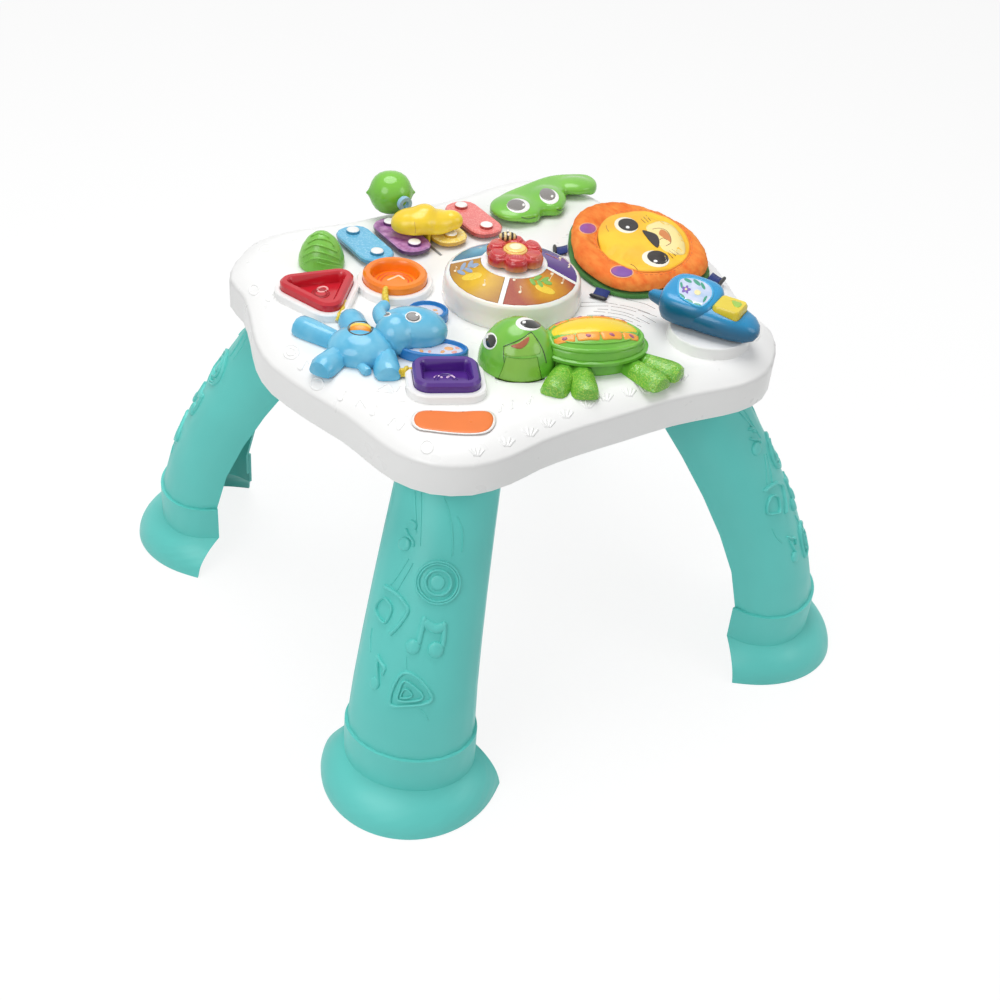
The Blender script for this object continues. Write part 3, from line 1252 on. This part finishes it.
def make_pad(mane_colour, face_colour, backing_colour, tab_colour):
    """Flat fabric pad: green backing, puffed mane, puffed face and three webbing tabs."""
    points = [Vector((a * PAD_HALF_LENGTH, b * PAD_HALF_WIDTH)) for a, b in PAD_SHARES]
    outline = smooth_loop(points, PAD_STEPS)

    def placed(loop):
        return place_outline(loop, PAD_X, PAD_Y, 0.0)

    def face_ring(share):
        ring = []
        for point in outline:
            angle = math.atan2(point.y / PAD_FACE_HALF_WIDTH, point.x / PAD_FACE_HALF_LENGTH)
            ring.append(Vector((
                PAD_FACE_HALF_LENGTH * share * math.cos(angle), PAD_FACE_HALF_WIDTH * share * math.sin(angle),
            )))
        return ring

    def between(share):
        return [a.lerp(b, share) for a, b in zip(outline, face_ring(1.0))]

    floor = TOP_HEIGHT + FACE_GAP
    backing_top = TOP_HEIGHT + PAD_BACKING_RISE
    spread = inset_loop(outline, -PAD_BACKING_SPREAD)
    finish("pad_backing", stack([(placed(spread), floor), (placed(spread), backing_top)]), backing_colour)
    low = backing_top + FACE_GAP
    rise = TOP_HEIGHT + PAD_MANE_RISE - low
    crest = low + rise
    face_low = crest - PAD_FACE_SINK
    mane = stack([
        (placed(inset_loop(outline, PAD_BACKING_SPREAD)), low),
        (placed(outline), low + rise * MANE_EDGE_SHARE),
    ] + [
        (placed(between(in_share)), low + rise * high_share) for in_share, high_share in MANE_SHARES
    ] + [
        (placed(face_ring(1.0)), face_low - FACE_GAP),
    ])
    finish("pad_mane", mane, mane_colour)
    face = stack([(placed(face_ring(size)), face_low + PAD_FACE_RISE * high) for size, high in FACE_SHARES])
    finish("pad_face", face, face_colour)
    for index, angle in enumerate(TAB_ANGLES):
        aim = Vector((math.cos(angle), math.sin(angle)))
        nearby = [point for point in spread if point.normalized().dot(aim) > math.cos(TAB_SEARCH_ANGLE)]
        rim = max(point.dot(aim) for point in nearby)
        start = rim + PAD_BACKING_SPREAD
        middle = aim * (start + TAB_LENGTH / 2)
        strip = rectangle(TAB_LENGTH, TAB_WIDTH, TAB_THICKNESS, PAD_X + middle.x, PAD_Y + middle.y, angle, 2)
        finish("pad_tab_%d" % (index + 1), prism(strip, floor, floor + TAB_THICKNESS), tab_colour)


def viewer_half_height(share, column):
    """Underside or top of the viewer's body at a share of its length, as a share of its height."""
    for before, after in zip(VIEWER_SHARES, VIEWER_SHARES[1:]):
        if before[0] <= share <= after[0]:
            blend = (share - before[0]) / (after[0] - before[0])
            return before[column] + (after[column] - before[column]) * blend
    return VIEWER_SHARES[-1][column]


def make_viewer(blue, window_colour, push_colour, bosses, holes):
    """Whale-like viewer on its boss, with a picture window and a push button."""
    boss_top = TOP_HEIGHT + VIEWER_BOSS_HEIGHT
    bosses.append(stack([
        (circle(VIEWER_BOSS_RADIUS + spread, VIEWER_BOSS_STEPS, VIEWER_X, VIEWER_Y), height)
        for spread, height in (
            (BOSS_ROUND, TOP_HEIGHT - TOP_WALL / 2), (0.0, boss_top - BOSS_ROUND), (-BOSS_ROUND, boss_top),
        )
    ]))
    low = boss_top + FACE_GAP
    aim = Vector((math.cos(VIEWER_TURN), math.sin(VIEWER_TURN), 0.0))
    side = Vector((-aim.y, aim.x, 0.0))
    up = Vector((0.0, 0.0, 1.0))
    middle = Vector((VIEWER_X, VIEWER_Y, low)) - aim * VIEWER_SETBACK
    tail = middle - aim * VIEWER_LENGTH / 2
    sections = []
    for along, width_share, low_share, high_share in VIEWER_SHARES:
        centre = tail + aim * VIEWER_LENGTH * along + up * VIEWER_HEIGHT * (low_share + high_share) / 2
        half_height = VIEWER_HEIGHT * (high_share - low_share) / 2
        half_width = VIEWER_WIDTH / 2 * width_share
        section = []
        for step in range(VIEWER_SECTION_STEPS):
            angle = math.tau * (step + 0.5) / VIEWER_SECTION_STEPS
            c, s = math.cos(angle), math.sin(angle)
            wide = math.copysign(abs(c) ** VIEWER_SQUARE_SHARE, c)
            high = math.copysign(abs(s) ** VIEWER_SQUARE_SHARE, s)
            section.append(centre + side * half_width * wide + up * half_height * high)
        sections.append(section)
    origin = (VIEWER_X, VIEWER_Y, boss_top)
    viewer = finish("viewer_body", loft(sections), blue, origin)
    pivot_foot = TOP_HEIGHT - TOP_WALL - VIEWER_PIVOT_REACH / 4
    pivot_top = low + VIEWER_HEIGHT / 4
    pivot = rod((VIEWER_X, VIEWER_Y, pivot_foot), (VIEWER_X, VIEWER_Y, pivot_top), VIEWER_PIVOT_RADIUS, 24)
    combine(viewer, pivot, "UNION")
    holes.append(rod(
        (VIEWER_X, VIEWER_Y, pivot_foot - OVERRUN), (VIEWER_X, VIEWER_Y, boss_top + OVERRUN),
        VIEWER_PIVOT_RADIUS + SLIDE_GAP, 24,
    ))

    def station(along):
        share = 0.5 - along / VIEWER_LENGTH
        place = middle - aim * along
        return place, low + VIEWER_HEIGHT * viewer_half_height(share, 3)

    place, roof = station(WINDOW_ALONG)
    pane_low = roof - WINDOW_SINK
    pane = rectangle(WINDOW_LENGTH, WINDOW_WIDTH, WINDOW_CORNER, place.x, place.y, VIEWER_TURN)
    room = rectangle(
        WINDOW_LENGTH + 2 * FACE_GAP, WINDOW_WIDTH + 2 * FACE_GAP, WINDOW_CORNER + FACE_GAP, place.x, place.y,
        VIEWER_TURN,
    )
    combine(viewer, prism(room, pane_low - FACE_GAP, pane_low + OVERRUN), "DIFFERENCE")
    finish("viewer_window", prism(pane, pane_low, pane_low + WINDOW_THICKNESS), window_colour, origin)
    place, roof = station(PUSH_ALONG)
    push_low = roof - PUSH_SINK
    push_outline = rectangle(PUSH_LENGTH, PUSH_WIDTH, PUSH_CORNER, place.x, place.y, VIEWER_TURN)
    room = rectangle(
        PUSH_LENGTH + 2 * SLIDE_GAP, PUSH_WIDTH + 2 * SLIDE_GAP, PUSH_CORNER + SLIDE_GAP, place.x, place.y,
        VIEWER_TURN,
    )
    combine(viewer, prism(room, push_low - PUSH_TRAVEL - FACE_GAP, push_low + 2 * OVERRUN), "DIFFERENCE")
    push_top = push_low + PUSH_RISE
    push_solid = stack([
        (push_outline, push_low), (push_outline, push_top - PUSH_CORNER / 2),
        (inset_loop(push_outline, PUSH_CORNER / 3), push_top),
    ])
    finish("viewer_push", push_solid, push_colour, (place.x, place.y, push_low))


# Label plate

def make_label(material):
    """Blank kidney-shaped plate on the band of the top."""
    points = [Vector((a * LABEL_LENGTH / 2, b * LABEL_WIDTH / 2)) for a, b in LABEL_SHARES][::-1]
    outline = place_outline(smooth_loop(points, LABEL_STEPS), LABEL_X, LABEL_Y, LABEL_TURN)
    low = TOP_HEIGHT + FACE_GAP
    finish("label_plate", prism(outline, low, low + LABEL_THICKNESS), material)


def main():
    """Build the whole table."""
    clear_scene()
    make_collection(PARTS)
    make_collection(CUTTERS).hide_render = True
    white = plastic("white_plastic", (0.90, 0.89, 0.87), 0.30)
    teal = plastic("teal_plastic", (0.10, 0.55, 0.48), 0.38)
    green = plastic("green_plastic", (0.16, 0.50, 0.05), 0.28)
    light_green = plastic("light_green_plastic", (0.32, 0.58, 0.12), 0.30)
    yellow = plastic("yellow_plastic", (0.90, 0.66, 0.05), 0.28)
    orange = plastic("orange_plastic", (0.90, 0.25, 0.02), 0.28)
    red = plastic("red_plastic", (0.58, 0.02, 0.03), 0.25)
    purple = plastic("purple_plastic", (0.10, 0.03, 0.26), 0.28)
    blue = plastic("blue_plastic", (0.07, 0.38, 0.70), 0.28)
    dark_blue = plastic("dark_blue_plastic", (0.01, 0.18, 0.45), 0.30)
    dark = plastic("dark_plastic", (0.30, 0.30, 0.30), 0.50)
    board = plastic("circuit_board", (0.02, 0.20, 0.05), 0.50)
    steel = plastic("speaker_steel", (0.40, 0.40, 0.42), 0.40, 1.0)
    webbing = plastic("webbing", (0.02, 0.04, 0.20), 0.90)
    mane = plastic("orange_fabric", (0.90, 0.22, 0.04), 0.95)
    face = plastic("yellow_fabric", (0.92, 0.55, 0.03), 0.90)
    backing = plastic("green_fabric", (0.05, 0.28, 0.06), 0.90)
    clear = plastic("clear_window", (0.70, 0.80, 0.85), 0.10)
    key_colours = (
        ("key_blue", plastic("key_blue", (0.11, 0.50, 0.72), 0.35)),
        ("key_purple", plastic("key_purple", (0.35, 0.08, 0.38), 0.35)),
        ("key_yellow", plastic("key_yellow", (0.92, 0.68, 0.06), 0.35)),
        ("key_coral", plastic("key_coral", (0.80, 0.13, 0.13), 0.35)),
    )
    panel_colours = (
        ("panel_amber", plastic("panel_amber", (0.75, 0.45, 0.06), 0.20)),
        ("panel_red", plastic("panel_red", (0.65, 0.15, 0.04), 0.20)),
        ("panel_purple", plastic("panel_purple", (0.12, 0.03, 0.30), 0.20)),
        ("panel_teal", plastic("panel_teal", (0.02, 0.30, 0.50), 0.20)),
    )
    bosses = []
    holes = []
    make_keys(key_colours, holes)
    make_slider(yellow, holes)
    make_spinner(green, blue, holes)
    make_bush(light_green)
    make_dish("dish_triangle", triangle_outline, TRIANGLE_X, TRIANGLE_Y, red, bosses, holes)
    make_dish("dish_ring", ring_outline, RING_X, RING_Y, orange, bosses, holes)
    make_dish("dish_square", square_outline, SQUARE_X, SQUARE_Y, purple, bosses, holes)
    make_dome(white, panel_colours, red, yellow, yellow)
    make_animal(blue, dark_blue, orange)
    make_turtle(green, light_green, orange, holes)
    make_bean(green, holes)
    make_pad(mane, face, backing, webbing)
    make_viewer(dark_blue, clear, yellow, bosses, holes)
    make_label(orange)
    for name, turn in LEG_CORNERS:
        make_leg("leg_" + name, turn, teal)
        make_foot("foot_" + name, turn, teal)
    make_top(white, bosses, holes)
    make_base(white)
    make_inside(dark, board, steel)


if __name__ == "__main__":
    main()
